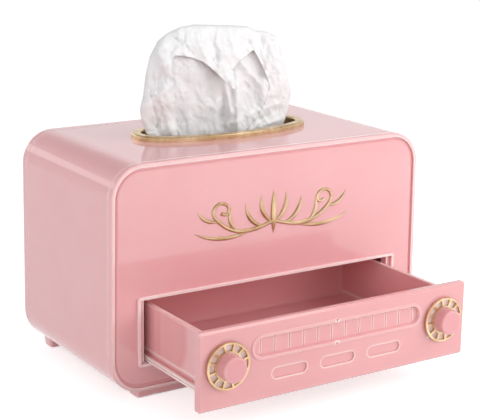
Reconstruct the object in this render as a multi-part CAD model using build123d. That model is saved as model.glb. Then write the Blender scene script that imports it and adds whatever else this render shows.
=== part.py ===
from build123d import *
import math
import os

# Tissue box with a drawer, styled like an old table radio, in millimetres.
# +X is to the right seen from the front, -Y points out of the front, +Z is up.
# The origin is the middle of the housing's footprint, on the surface that it stands on.
# The drawer is drawn partly open, and that is the rest position.

# ---- housing ----
body_width = 230.0         # at mid-height
body_depth = 124.5
body_height = 141.6
foot_height = 5.7
side_draft = 0.7           # degrees, each side leans in towards the top
corner_radius = 21.0
shell_wall = 2.8
fascia_band = 4.4          # front cap's rim, seen round the sides
cover_band = 7.0           # rear cover's rim, seen round the sides
seam_chamfer = 0.45        # makes the parting lines show
push_gap = 0.3             # clearance between pieces that come apart
seat_gap = 0.1             # clearance between pieces that stay together

# ---- front fascia ----
fascia_plate = 3.0
fascia_edge_round = 1.2
rim_width = 2.4            # rim outside the groove
groove_width = 1.2
groove_depth = 1.6
panel_set_back = 0.5       # panel inside the groove lies this far behind the rim
panel_edge_round = 2.0     # the panel rolls off into the groove
fascia_lip = 6.5           # length of the lip inside the shell
lip_wall = 2.0

# ---- drawer opening ----
opening_inset = 22.4       # sides of the opening in from the housing's sides
opening_bottom = 24.0
opening_top = 63.6
opening_corner = 1.2
bezel_reach = 5.0          # bezel's outer edge out from the opening, at the sides
bezel_low_reach = 2.6      # the same below the opening
bezel_high_reach = 2.4     # the same above it
bezel_corner = 2.4
bead_width = 2.0
bead_round = 0.6
bead_inner_corner = 1.2
bezel_proud = 1.0
bezel_step = 1.2           # depth of the step between bead and opening
collar_wall = 1.8
collar_length = 3.5

# ---- rear cover ----
cover_plate = 3.0
cover_lip = 8.0
cover_panel_inset = 9.0
cover_panel_depth = 0.8
scoop_radius = 14.0
scoop_depth = 2.2
scoop_wall = 2.0           # left standing in front of the scoop

# ---- shelf between the tissue bay and the drawer bay ----
shelf_thickness = 2.4
shelf_rib_depth = 2.6
shelf_rib_width = 1.6
shelf_gap = 0.2            # at the sides, and behind the fascia's plate
ledge_width = 3.0
ledge_thickness = 2.0

# ---- runners ----
runner_wall = 2.2
runner_base = 3.0
runner_width = 11.3
running_gap = 0.4
runner_lip_height = 2.2
runner_front_gap = 0.6     # behind the fascia's lip
runner_back_gap = 1.0      # in front of the rear cover's lip

# ---- drawer tray ----
tray_side_gap = 3.7        # between the tray and the opening's sides
tray_wall = 2.8
tray_bottom = 24.4
tray_top = 60.0
tray_floor = 3.0
tray_depth = 111.0
tray_inner_corner = 2.2
tray_top_round = 0.9
flange_reach = 2.2         # sliding flange along the tray's foot
groove_in = 1.2            # wall is set in above the flange
flange_groove = 0.8        # shallow groove along the flange's face, as wide as it is deep
groove_top = 31.0
lug_reach = 5.3            # stop lug on each side
lug_height = 10.0
lug_base = 44.0
lug_length = 7.0
lug_flat = 2.0            # outer face of the lug, before it slopes back to the tray

# ---- drawer front ----
panel_reach = 5.4          # the front's ends out from the opening's sides
panel_bottom = 17.0
panel_top = 64.8
panel_thickness = 5.0
panel_corner = 2.0
panel_front_chamfer = 1.2
panel_back_round = 0.8
drawer_pull = 65.3         # how far the drawer stands open at rest
drawer_spare = 12.0        # what it can still be pulled before its lugs stop it
shut_gap = 0.4             # between the shut drawer front and the bezel

# ---- dial window on the drawer front ----
window_knob_gap = 16.4     # between the window's end and the middle of the knob
window_bottom = 41.5
window_top = 57.5
window_bead = 2.0
window_bead_proud = 0.7
window_depth = 1.4
window_slope = 1.2         # slope of the window's floor edge
tick_count = 12
tick_pitch = 10.17
tick_width = 0.8
tick_depth = 0.6
tick_height = 9.6
pointer_x = -2.4           # the pointer stands left of the middle
pointer_width = 3.4
pointer_height = 2.0
slot_count = 3
slot_row_x = -1.0
slot_pitch = 34.8
slot_length = 25.0
slot_height = 6.6
slot_centre_z = 31.8
slot_depth = 1.2

# ---- dial knobs ----
knob_inset = 18.6          # middle of the knob in from the drawer front's end
knob_z = 43.2
knob_projection = 10.0
knob_front_radius = 7.8
knob_base_radius = 8.0
knob_round = 1.1
knob_flange_radius = 13.2
knob_flange = 0.6
shaft_radius = 3.0
shaft_gap = 0.1
shaft_tail = 4.0           # shaft beyond the tray's front wall
shaft_chamfer = 0.4
knob_stand_off = 0.4
dial_outer_radius = 14.3
dial_inner_radius = 8.3
dial_outer_rim = 1.25
dial_inner_rim = 0.8
dial_thickness = 1.5
dial_edge_round = 0.4
dial_spokes = 12
spoke_width = 1.25
dial_turn_left = 13.5      # the two dials stand turned differently
dial_turn_right = 8.0
washer_radius = 5.0
washer_thickness = 0.9
washer_gap = 0.05

# ---- slot ring on the top ----
ring_half_length = 63.3
ring_half_width = 28.5
ring_end_radius = 19.0
ring_band = 6.0
ring_height = 3.3
ring_y = 2.5
ring_outer_round = 1.3
ring_inner_round = 0.8
ring_collar_wall = 1.8
ring_collar_drop = 2.2     # collar below the shell's inner surface
ring_tab_reach = 1.0
ring_tab_width = 8.0
ring_tab_x = 16.0          # tabs stand this far out from the middle
ring_tab_height = 1.2

# ---- feet ----
foot_inset = 18.5          # feet end this far in from the housing's sides
foot_depth = 12.0
foot_corner = 1.5
foot_set_back = 2.9        # front foot behind the front face
rear_foot_set_in = 2.2     # rear foot in from the back face
foot_taper = 8.0           # degrees
pad_radius = 4.0
pad_proud = 0.5
pad_recess = 0.8
pad_inset = 12.5           # pads in from the foot's ends
peg_radius = 2.4
peg_inset = 26.5           # pegs in from the foot's ends
peg_short = 0.2            # pegs end this far below the shell's inner floor
rear_peg_set_in = 4.0      # rear pegs in from the shell's rear edge

# ---- screws ----
screw_head_radius = 2.6
screw_head = 1.5
screw_head_chamfer = 0.7
screw_slot_width = 0.7
screw_slot_depth = 0.6
screw_point = 0.5          # chamfer on the shank's end
screw_radius = 1.3
screw_pilot_radius = 1.35
screw_hole_radius = 1.6
pilot_spare = 1.5          # blind pilot holes are this much deeper than the screw
boss_radius = 3.6
boss_inset_x = 10.5
boss_inset_z = 14.3
lug_plate = 3.0
lug_half_size = 6.5
lug_set_back = 3.0         # behind the end of the fascia's lip
fascia_screw_length = 10.0
runner_screw_y = 30.0
runner_screw_bite = 2.6
shelf_screw_y = 30.0
shelf_boss_radius = 3.4
shelf_boss_set_in = 3.0    # boss centre from the shell's inner wall, which it sinks into
shelf_boss_depth = 9.0
shelf_screw_length = 9.0
drawer_screw_inset = 10.3  # in from the middle of the knob
drawer_screw_low = 33.0
drawer_screw_high = 52.0
drawer_screw_bite = 3.2

# ---- front ornament ----
ornament_z = 106.0
ornament_half_width = 58.0
ornament_thickness = 1.5
ornament_line = 2.2
ornament_pin_radius = 0.9
leaf_step = 0.1            # each leaf lies this much lower than the one before

# ---- tissues ----
pack_half_width = 88.0
pack_front_gap = 15.0      # tissues stand this far behind the housing's front face
pack_back_gap = 17.0
pack_height = 54.0
pack_round = 9.0
tissue_gap = 0.5           # between the pack and the sheet that stands out
tissue_pleats = 11
tissue_thickness = 2.4
tissue_mouth = 17.0        # half depth of the sheet, front to back, in the slot
tissue_half_length = 50.5  # half length of the sheet in the slot
tissue_rise = 69.0         # the sheet stands this far out of the housing's top

# ---- levels and planes worked out from the sizes above ----
floor_z = foot_height
top_z = foot_height + body_height
middle_z = foot_height + body_height / 2
front_y = -body_depth / 2
back_y = body_depth / 2
shell_front = front_y + fascia_band
shell_back = back_y - cover_band
inner_half_width = body_width / 2 - shell_wall
lean = math.tan(math.radians(side_draft))
inner_floor = floor_z + shell_wall
inner_top = top_z - shell_wall
plate_back = front_y + fascia_plate
lip_end = shell_front + fascia_lip
collar_end = plate_back + collar_length
cover_lip_end = shell_back - cover_lip
opening_half_width = body_width / 2 - opening_inset
bezel_half_width = opening_half_width + bezel_reach
bezel_bottom = opening_bottom - bezel_low_reach
bezel_top = opening_top + bezel_high_reach
tray_half_width = opening_half_width - tray_side_gap
panel_half_width = opening_half_width + panel_reach
knob_x = panel_half_width - knob_inset
window_half_width = knob_x - window_knob_gap
drawer_screw_x = knob_x - drawer_screw_inset
foot_half_length = body_width / 2 - foot_inset
pad_x = foot_half_length - pad_inset
peg_x = foot_half_length - peg_inset
panel_back = front_y - bezel_proud - shut_gap - drawer_pull
panel_face = panel_back - panel_thickness
tray_front = panel_back
tray_back = tray_front + tray_depth
tray_inside_front = tray_front + tray_wall
flange_top = tray_bottom + tray_floor
shelf_bottom = opening_top + collar_wall + seat_gap
shelf_top = shelf_bottom + shelf_thickness
run_front = lip_end + runner_front_gap
run_back = cover_lip_end - runner_back_gap
lug_front = lip_end + lug_set_back
lug_back = lug_front + lug_plate
runner_outer = tray_half_width + flange_reach + running_gap + runner_wall
runner_middle = runner_outer - runner_width / 2
shelf_boss_x = inner_half_width + lean * (middle_z - shelf_bottom) - shelf_boss_set_in
dial_back = knob_stand_off + knob_flange
dial_front = dial_back + dial_thickness
front_foot_y = front_y + foot_set_back + foot_depth / 2
rear_foot_y = back_y - rear_foot_set_in - foot_depth / 2
rear_peg_y = shell_back - rear_peg_set_in
pack_front = front_y + pack_front_gap
pack_back = back_y - pack_back_gap
ornament_unit = ornament_half_width / 58    # the ornament's points are drawn 58 wide
ornament_pin_x = 22 * ornament_unit
ornament_pin_z = ornament_z - 9.5 * ornament_unit    # on the stem's lowest point


def front_plane(y):
    return Plane(origin=(0, y, 0), x_dir=(1, 0, 0), z_dir=(0, -1, 0))


def run_y(sketch, y_front, y_back):
    """Extrude an X-Z sketch from y_back forward to y_front."""
    return extrude(front_plane(y_back) * sketch, amount=y_back - y_front)


def rounded(half_width, z_low, z_high, radius):
    outline = RectangleRounded(2 * half_width, z_high - z_low, radius)
    return Pos(0, (z_low + z_high) / 2) * outline


def block(x_low, x_high, y_low, y_high, z_low, z_high):
    box = Box(x_high - x_low, y_high - y_low, z_high - z_low)
    return Pos((x_low + x_high) / 2, (y_low + y_high) / 2, (z_low + z_high) / 2) * box


def rod_y(x, z, radius, y_front, y_back):
    return run_y(Pos(x, z) * Circle(radius), y_front, y_back)


def rod_z(x, y, radius, z_low, z_high):
    return Pos(x, y, z_low) * extrude(Circle(radius), amount=z_high - z_low)


def half_width_at(z):
    """Half the housing's width at height z: the sides lean in towards the top."""
    return body_width / 2 - lean * (z - middle_z)


def body_outline(inset):
    """The housing's outline, moved inwards by inset."""
    side = inset / math.cos(math.radians(side_draft))
    low, high = floor_z + inset, top_z - inset
    wide, narrow = half_width_at(low) - side, half_width_at(high) - side
    outline = make_face(Polyline((-wide, low), (wide, low), (narrow, high), (-narrow, high), close=True))
    return fillet(outline.vertices(), corner_radius - inset)


def oval(half_length, half_width, end_radius):
    """Oval of two wide arcs and two end arcs that meet tangentially."""
    reach = half_length - end_radius
    rise = half_width - end_radius
    depth = (reach**2 - rise**2) / (2 * rise)
    slant = math.hypot(reach, depth)
    join_x = reach + end_radius * reach / slant
    join_y = end_radius * depth / slant
    top = ThreePointArc((-join_x, join_y), (0, half_width), (join_x, join_y))
    right = ThreePointArc((join_x, join_y), (half_length, 0), (join_x, -join_y))
    bottom = ThreePointArc((join_x, -join_y), (0, -half_width), (-join_x, -join_y))
    left = ThreePointArc((-join_x, -join_y), (-half_length, 0), (-join_x, join_y))
    return make_face(top + right + bottom + left)


def ring_oval(inset):
    """Outline of the slot ring, moved inwards by inset."""
    return oval(ring_half_length - inset, ring_half_width - inset, ring_end_radius - inset)


def edges_at(part, axis, value, tolerance=0.01):
    """Edges that lie wholly in the plane axis = value."""
    found = []
    for edge in part.edges():
        box = edge.bounding_box()
        low = {"X": box.min.X, "Y": box.min.Y, "Z": box.min.Z}[axis]
        high = {"X": box.max.X, "Y": box.max.Y, "Z": box.max.Z}[axis]
        if abs(low - value) < tolerance and abs(high - value) < tolerance:
            found.append(edge)
    return found


def mirrored(part):
    return mirror(part, about=Plane.YZ)


def corner_spots():
    """Centres of the four fascia screws, in X-Z."""
    spots = []
    for z in (floor_z + boss_inset_z, top_z - boss_inset_z):
        x = half_width_at(z) - boss_inset_x
        spots += [(-x, z), (x, z)]
    return spots


# ---- the housing ----
def make_housing_shell():
    shell = run_y(body_outline(0), shell_front, shell_back)
    shell = chamfer(edges_at(shell, "Y", shell_front) + edges_at(shell, "Y", shell_back), seam_chamfer)
    shell -= run_y(body_outline(shell_wall), shell_front, shell_back)
    inside = run_y(body_outline(shell_wall / 2), lug_front, lug_back)
    for x, z in corner_spots():
        side = 1 if x > 0 else -1
        up = 1 if z > middle_z else -1
        reach = Pos(x + side * lug_half_size, 0, z + up * lug_half_size) * Box(
            4 * lug_half_size, 4 * body_depth, 4 * lug_half_size
        )
        shell += inside & reach
        shell -= rod_y(x, z, screw_hole_radius, lug_front - 1, lug_back + 1)
    for side in (-1, 1):
        low_x, high_x = sorted((side * (inner_half_width - ledge_width), side * (inner_half_width + 1)))
        shell += block(low_x, high_x, run_front, run_back, shelf_bottom - seat_gap - ledge_thickness,
                       shelf_bottom - seat_gap)
        for y in (-shelf_screw_y, shelf_screw_y):
            boss_x = side * shelf_boss_x
            boss_top = shelf_bottom - seat_gap
            shell += rod_z(boss_x, y, shelf_boss_radius, boss_top - shelf_boss_depth, boss_top)
            shell -= rod_z(boss_x, y, screw_pilot_radius, shelf_top - shelf_screw_length - pilot_spare, boss_top + 1)
            shell -= rod_z(side * runner_middle, y, screw_hole_radius, floor_z - 1, inner_floor + 1)
    slot = Pos(0, ring_y, inner_top - 1) * extrude(
        ring_oval(ring_band - ring_collar_wall - seat_gap), amount=shell_wall + 2
    )
    shell -= slot
    for x in (-peg_x, peg_x):
        for y in (front_foot_y, rear_peg_y):
            shell -= rod_z(x, y, peg_radius + seat_gap, floor_z - 1, inner_floor + 1)
    return shell


def make_front_fascia():
    # cap with a rounded rim
    cap = run_y(body_outline(0), front_y, shell_front)
    cap = fillet(edges_at(cap, "Y", front_y), fascia_edge_round)
    cap = chamfer(edges_at(cap, "Y", shell_front), seam_chamfer)
    cap -= run_y(body_outline(shell_wall), plate_back, shell_front + 1)
    # groove and the panel inside it
    cap -= run_y(body_outline(rim_width), front_y - 1, front_y + groove_depth)
    panel = run_y(body_outline(rim_width + groove_width), front_y + panel_set_back, plate_back)
    panel = fillet(edges_at(panel, "Y", front_y + panel_set_back), panel_edge_round)
    cap += panel
    # lip that fits inside the shell
    lip = run_y(body_outline(shell_wall + seat_gap), plate_back, lip_end)
    lip -= run_y(body_outline(shell_wall + seat_gap + lip_wall), plate_back - 1, lip_end + 1)
    cap += lip
    # bosses for the screws
    for x, z in corner_spots():
        cap += rod_y(x, z, boss_radius, plate_back - 0.5, lug_front)
    # bezel bead round the drawer opening
    bead = run_y(rounded(bezel_half_width, bezel_bottom, bezel_top, bezel_corner),
                 front_y - bezel_proud, plate_back)
    bead = fillet(edges_at(bead, "Y", front_y - bezel_proud), bead_round)
    well = run_y(
        rounded(bezel_half_width - bead_width, bezel_bottom + bead_width, bezel_top - bead_width,
                bead_inner_corner),
        front_y - bezel_proud - 1, front_y + bezel_step,
    )
    cap += bead
    cap -= well
    # collar that guides the drawer
    collar = run_y(
        rounded(opening_half_width + collar_wall, opening_bottom - collar_wall, opening_top + collar_wall,
                opening_corner + collar_wall),
        plate_back - 0.5, collar_end,
    )
    cap += collar
    cap -= run_y(rounded(opening_half_width, opening_bottom, opening_top, opening_corner),
                 front_y - 5, collar_end + 5)
    for x, z in corner_spots():
        cap -= rod_y(x, z, screw_pilot_radius, lug_back - fascia_screw_length - pilot_spare, lug_front + 1)
    for x in (-ornament_pin_x, ornament_pin_x):
        cap -= rod_y(x, ornament_pin_z, ornament_pin_radius + seat_gap, front_y - 5, plate_back + 1)
    return cap


def make_rear_cover():
    cover = run_y(body_outline(0), shell_back + push_gap, back_y)
    cover = fillet(edges_at(cover, "Y", back_y), fascia_edge_round)
    cover = chamfer(edges_at(cover, "Y", shell_back + push_gap), seam_chamfer)
    cover -= run_y(body_outline(shell_wall), shell_back - 1, back_y - cover_plate)
    lip = run_y(body_outline(shell_wall + push_gap), cover_lip_end, back_y - cover_plate + 0.5)
    lip -= run_y(body_outline(shell_wall + push_gap + lip_wall), cover_lip_end - 1, back_y - cover_plate + 1)
    cover += lip
    recess = run_y(body_outline(cover_panel_inset), back_y - cover_panel_depth, back_y + 1)
    cover -= recess
    # finger scoop under the top edge of the cover's rim
    scoop = Pos(0, back_y - cover_plate / 2, top_z + scoop_radius - scoop_depth) * Rot(90, 0, 0) * Cylinder(
        scoop_radius, 3 * cover_band
    )
    scoop &= block(-body_width, body_width, shell_back + scoop_wall, back_y + 1, floor_z, top_z + 1)
    cover -= scoop
    return cover


def make_shelf():
    side_reach = inner_half_width - shelf_gap
    plate = block(-side_reach, side_reach, run_front, run_back, shelf_bottom, shelf_top)
    nose = block(-opening_half_width, opening_half_width, plate_back + shelf_gap, run_front,
                 shelf_bottom, shelf_top)
    shelf = plate + nose
    for y in (-run_back / 3, run_back / 3):
        shelf += block(-tray_half_width, tray_half_width, y - shelf_rib_width / 2, y + shelf_rib_width / 2,
                       shelf_bottom - shelf_rib_depth, shelf_bottom)
    for side in (-1, 1):
        for y in (-shelf_screw_y, shelf_screw_y):
            shelf -= rod_z(side * shelf_boss_x, y, screw_hole_radius, shelf_bottom - 1, shelf_top + 1)
    return shelf


def make_runner_right():
    """Hollow runner with a guide wall and a lip that keeps the drawer from tipping."""
    outer = runner_outer
    inner = outer - runner_width
    guide = outer - runner_wall
    ledge = tray_bottom - push_gap
    lip_low = flange_top + running_gap
    lip_high = lip_low + runner_lip_height
    lip_tip = tray_half_width - groove_in + running_gap
    outline = Polyline(
        (inner, inner_floor), (guide, inner_floor), (outer, inner_floor + runner_wall), (outer, lip_high),
        (lip_tip, lip_high), (lip_tip, lip_low), (guide, lip_low), (guide, ledge), (inner, ledge), close=True,
    )
    section = make_face(outline)
    hollow = make_face(Polyline(
        (inner + runner_wall, inner_floor + runner_base), (guide, inner_floor + runner_base),
        (guide, ledge - runner_wall), (inner + runner_wall, ledge - runner_wall), close=True,
    ))
    runner = run_y(section - hollow, run_front, run_back)
    for y in (-runner_screw_y, runner_screw_y):
        runner -= rod_z(runner_middle, y, screw_pilot_radius, inner_floor - 1, inner_floor + runner_base + 1)
    return runner


# ---- the drawer ----
def make_drawer_tray():
    flange_half = tray_half_width + flange_reach
    tray = block(-tray_half_width, tray_half_width, tray_front, tray_back, groove_top, tray_top)
    waist = tray_half_width - groove_in
    tray += block(-waist, waist, tray_front, tray_back, tray_bottom, groove_top)
    tray += block(-flange_half, flange_half, tray_front, tray_back, tray_bottom, flange_top)
    flange_middle = (tray_bottom + flange_top) / 2
    for side in (-1, 1):
        low_x, high_x = sorted((side * (flange_half - flange_groove), side * (flange_half + 1)))
        tray -= block(low_x, high_x, tray_front - 1, tray_back + 1, flange_middle - flange_groove / 2,
                      flange_middle + flange_groove / 2)
    tray = fillet(edges_at(tray, "Z", tray_top), tray_top_round)
    cavity = block(-tray_half_width + tray_wall, tray_half_width - tray_wall, tray_inside_front,
                   tray_back - tray_wall, flange_top, tray_top + 10)
    corners = cavity.edges().filter_by(Axis.Z) + edges_at(cavity, "Z", flange_top)
    cavity = fillet(corners, tray_inner_corner)
    tray -= cavity
    # wedge-shaped stop lugs, which meet the collar when the drawer is pulled right out
    stop_face = collar_end + push_gap + drawer_spare
    for side in (-1, 1):
        wedge = make_face(Polyline(
            (side * (tray_half_width - 1), stop_face), (side * (tray_half_width + lug_reach), stop_face),
            (side * (tray_half_width + lug_reach), stop_face + lug_flat),
            (side * (tray_half_width - 1), stop_face + lug_length), close=True,
        ))
        tray += Pos(0, 0, lug_base) * extrude(wedge, amount=lug_height)
        tray -= rod_y(side * knob_x, knob_z, shaft_radius + shaft_gap, tray_front - 1, tray_inside_front + 1)
        for z in (drawer_screw_low, drawer_screw_high):
            tray -= rod_y(side * drawer_screw_x, z, screw_hole_radius, tray_front - 1, tray_inside_front + 1)
    return tray


def stadium(half_width, z_low, z_high):
    height = z_high - z_low
    return Pos(0, (z_low + z_high) / 2) * SlotOverall(2 * half_width, height)


def make_drawer_front():
    panel = run_y(rounded(panel_half_width, panel_bottom, panel_top, panel_corner), panel_face, panel_back)
    panel = chamfer(edges_at(panel, "Y", panel_face), panel_front_chamfer)
    panel = fillet(edges_at(panel, "Y", panel_back), panel_back_round)
    # raised bead round the dial window
    bead = run_y(stadium(window_half_width, window_bottom, window_top),
                 panel_face - window_bead_proud, panel_face + 0.5)
    bead = fillet(edges_at(bead, "Y", panel_face - window_bead_proud), window_bead_proud * 0.9)
    panel += bead
    # window with sloping sides
    wide = stadium(window_half_width - window_bead, window_bottom + window_bead, window_top - window_bead)
    narrow = stadium(
        window_half_width - window_bead - window_slope,
        window_bottom + window_bead + window_slope, window_top - window_bead - window_slope,
    )
    floor_y = panel_face + window_depth
    mouth_y = panel_face - window_bead_proud - 0.1
    well = loft([front_plane(mouth_y) * wide.face(), front_plane(floor_y) * narrow.face()])
    panel -= well
    # scale marks on the window's floor
    window_middle = (window_bottom + window_top) / 2
    for i in range(tick_count):
        x = (i - (tick_count - 1) / 2) * tick_pitch
        mark = Pos(x, window_middle) * Rectangle(tick_width, tick_height)
        panel -= run_y(mark, floor_y - 0.2, floor_y + tick_depth)
    # pointer notches in the bead, above and below
    for base, tip in ((window_top, -1), (window_bottom, 1)):
        notch = make_face(Polyline(
            (pointer_x - pointer_width / 2, base), (pointer_x + pointer_width / 2, base),
            (pointer_x, base + tip * pointer_height), close=True,
        ))
        panel -= run_y(notch, panel_face - window_bead_proud - 1, panel_face + 0.3)
    # three pressed slots under the window
    for i in range(slot_count):
        x = slot_row_x + (i - (slot_count - 1) / 2) * slot_pitch
        mouth = Pos(x, slot_centre_z) * SlotOverall(slot_length, slot_height)
        panel -= run_y(mouth, panel_face - 1, panel_face + slot_depth)
    for side in (-1, 1):
        panel -= rod_y(side * knob_x, knob_z, shaft_radius + shaft_gap, panel_face - 1, panel_back + 1)
        for z in (drawer_screw_low, drawer_screw_high):
            panel -= rod_y(side * drawer_screw_x, z, screw_pilot_radius,
                           panel_back - drawer_screw_bite - push_gap, panel_back + 1)
    return panel


# ---- knobs: profiles turned about an axis along Y, t is measured out from the drawer front ----
def turned(profile, x):
    """Revolve (radius, t) points about the knob axis at x."""
    section = make_face(Polyline(*profile, close=True))
    solid = revolve(section, Axis.Y)
    place = Location((x, panel_face, knob_z)) * Location((0, 0, 0), (0, 0, 1), 180)
    return place * solid


def make_knob(x):
    tail = -(panel_thickness + tray_wall + shaft_tail)
    knob = turned([
        (0, tail), (shaft_radius - shaft_chamfer, tail), (shaft_radius, tail + shaft_chamfer),
        (shaft_radius, knob_stand_off), (knob_flange_radius, knob_stand_off), (knob_flange_radius, dial_back),
        (dial_inner_radius - seat_gap, dial_back), (dial_inner_radius - seat_gap, dial_front),
        (knob_base_radius, dial_front), (knob_front_radius, knob_projection), (0, knob_projection),
    ], x)
    front_edges = edges_at(knob, "Y", panel_face - knob_projection)
    return fillet(front_edges, knob_round)


def make_dial_ring(x, turn):
    rims = Circle(dial_outer_radius) - Circle(dial_outer_radius - dial_outer_rim)
    rims += Circle(dial_inner_radius + dial_inner_rim) - Circle(dial_inner_radius)
    spoke_inner = dial_inner_radius + dial_inner_rim / 2
    spoke_outer = dial_outer_radius - dial_outer_rim / 2
    for i in range(dial_spokes):
        spoke = Pos((spoke_inner + spoke_outer) / 2, 0) * Rectangle(spoke_outer - spoke_inner, spoke_width)
        rims += Rot(0, 0, turn + i * 360 / dial_spokes) * spoke
    ring = run_y(Pos(x, knob_z) * rims, panel_face - dial_front, panel_face - dial_back)
    outer_edges = [
        edge for edge in edges_at(ring, "Y", panel_face - dial_front)
        if edge.geom_type == GeomType.CIRCLE and edge.radius > dial_outer_radius - 0.01
    ]
    return fillet(outer_edges, dial_edge_round)


def make_washer(x):
    near = -(panel_thickness + tray_wall) - push_gap
    return turned([
        (shaft_radius + washer_gap, near), (washer_radius, near), (washer_radius, near - washer_thickness * 0.6),
        (shaft_radius + washer_gap, near - washer_thickness),
    ], x)


# ---- top ring ----
def make_slot_ring():
    flange = Pos(0, ring_y, top_z) * extrude(ring_oval(0), amount=ring_height)
    flange = fillet(edges_at(flange, "Z", top_z + ring_height), ring_outer_round)
    collar_bottom = inner_top - ring_collar_drop
    collar = Pos(0, ring_y, collar_bottom) * extrude(
        ring_oval(ring_band - ring_collar_wall), amount=top_z + 0.5 - collar_bottom
    )
    ring = flange + collar
    # snap tabs under the shell's top wall
    tab_top = inner_top - seat_gap
    tab_reach = ring_half_width - ring_band + ring_collar_wall + ring_tab_reach
    for x in (-ring_tab_x, ring_tab_x):
        ring += block(x - ring_tab_width / 2, x + ring_tab_width / 2, ring_y - tab_reach, ring_y + tab_reach,
                      tab_top - ring_tab_height, tab_top)
    hole_height = top_z + ring_height - collar_bottom + 2
    ring -= Pos(0, ring_y, collar_bottom - 1) * extrude(ring_oval(ring_band), amount=hole_height)
    inner_edges = [
        edge for edge in edges_at(ring, "Z", top_z + ring_height)
        if edge.bounding_box().max.X < ring_half_length - ring_band + 0.1
        and edge.bounding_box().min.X > -ring_half_length + ring_band - 0.1
        and abs(edge.center().Y - ring_y) < ring_half_width - ring_band + 0.1
    ]
    return fillet(inner_edges, ring_inner_round)


# ---- feet ----
def make_foot(y, top_relief):
    """Bar foot with tapered sides, pegs into the shell's floor and sockets for two pads."""
    bottom = pad_proud
    height = floor_z - bottom
    top_face = Plane(origin=(0, y, floor_z)) * RectangleRounded(2 * foot_half_length, foot_depth, foot_corner)
    foot = extrude(top_face, amount=-height, taper=foot_taper)
    for x in (-peg_x, peg_x):
        peg_y = rear_peg_y if y > 0 else y
        foot += rod_z(x, peg_y, peg_radius, floor_z - 1, inner_floor - peg_short)
    for x in (-pad_x, pad_x):
        foot -= rod_z(x, y, pad_radius + seat_gap, bottom - 1, bottom + pad_recess)
    if top_relief:
        foot -= block(-body_width, body_width, shell_back, back_y + 5, floor_z - top_relief, floor_z + 1)
    return foot


def make_foot_pads():
    pads = [rod_z(x, y, pad_radius, 0, pad_proud + pad_recess) for x in (-pad_x, pad_x)
            for y in (front_foot_y, rear_foot_y)]
    return Compound(children=pads)


# ---- screws ----
def screw(head_out):
    """Pan-head screw along +Z: the head's seat is at z = 0 and the shank runs to z = head_out."""
    shank = extrude(Circle(screw_radius), amount=head_out)
    shank = chamfer(edges_at(shank, "Z", head_out), screw_point)
    head = Pos(0, 0, -screw_head) * extrude(Circle(screw_head_radius), amount=screw_head)
    head = chamfer(edges_at(head, "Z", -screw_head), screw_head_chamfer)
    slot = Pos(0, 0, -screw_head) * Box(3 * screw_head_radius, screw_slot_width, 2 * screw_slot_depth)
    return head + shank - slot


def screws_at(spots, direction, length):
    one = screw(length)
    placed = [Plane(origin=spot, z_dir=direction).location * one for spot in spots]
    return Compound(children=placed)


def make_fascia_screws():
    spots = [(x, lug_back, z) for x, z in corner_spots()]
    return screws_at(spots, (0, -1, 0), fascia_screw_length)


def make_runner_screws():
    spots = [(s * runner_middle, y, floor_z) for s in (-1, 1) for y in (-runner_screw_y, runner_screw_y)]
    return screws_at(spots, (0, 0, 1), shell_wall + runner_screw_bite)


def make_shelf_screws():
    spots = [(s * shelf_boss_x, y, shelf_top) for s in (-1, 1) for y in (-shelf_screw_y, shelf_screw_y)]
    return screws_at(spots, (0, 0, -1), shelf_screw_length)


def make_drawer_screws():
    spots = [(s * drawer_screw_x, tray_inside_front, z) for s in (-1, 1)
             for z in (drawer_screw_low, drawer_screw_high)]
    return screws_at(spots, (0, -1, 0), tray_wall + drawer_screw_bite)


# ---- ornament: a symmetrical scroll with leaves, pinned to the fascia ----
def leaf(start, end, bulge, thickness):
    """Leaf between two arcs that meet in a point at each end; bulge is to the left of start to end."""
    a = Vector(*start) * ornament_unit
    b = Vector(*end) * ornament_unit
    along = (b - a).normalized()
    left = Vector(-along.Y, along.X) * ornament_unit
    middle = (a + b) * 0.5
    outer = ThreePointArc(a, middle + left * (bulge + thickness / 2), b)
    inner = ThreePointArc(b, middle + left * (bulge - thickness / 2), a)
    return make_face(outer + inner)


def scroll_arc(*points):
    """Arc through three of the ornament's drawn points."""
    return ThreePointArc(*[(x * ornament_unit, z * ornament_unit) for x, z in points])


def make_front_ornament():
    face = front_y + panel_set_back
    stem = scroll_arc((0, -5), (22, -9.5), (40, -1))
    curl = scroll_arc((40, -1), (46, 7), (37, 10)) + scroll_arc((37, 10), (32.5, 5.5), (37.5, 2.5))
    scroll = trace(stem + curl, line_width=ornament_line)
    scroll += Pos(37.2 * ornament_unit, 3.4 * ornament_unit) * Circle(ornament_line * 0.8)
    leaves = [
        leaf((18, -9), (58, -6), -4.5, 3.4), leaf((26, -9), (31.5, 7), -3.5, 3.2),
        leaf((8, -7.5), (21, 8.5), -4.0, 3.6), leaf((2, -5), (9, 12.5), -3.0, 3.8),
        leaf((41, -0.5), (56, 8), -3.0, 3.0),
    ]
    crown = leaf((0, -13), (0, 14.5), 0, 6.0)
    ornament = run_y(Pos(0, ornament_z) * crown, face - ornament_thickness - 4 * leaf_step, face)
    for turn in (False, True):
        for i, sketch in enumerate([scroll] + leaves):
            flat = mirror(sketch, about=Plane.YZ) if turn else sketch
            height = ornament_thickness - leaf_step * i
            ornament += run_y(Pos(0, ornament_z) * flat, face - height, face)
    for x in (-ornament_pin_x, ornament_pin_x):
        ornament += rod_y(x, ornament_pin_z, ornament_pin_radius, face - 0.5, plate_back - push_gap)
    return ornament


# ---- tissues ----
def make_tissue_pack():
    pack = block(-pack_half_width, pack_half_width, pack_front, pack_back, shelf_top + push_gap,
                 shelf_top + push_gap + pack_height)
    upright = pack.edges().filter_by(Axis.Z)
    pack = fillet(upright, pack_round)
    pack = fillet(edges_at(pack, "Z", shelf_top + push_gap + pack_height), pack_round * 0.6)
    return pack


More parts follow.
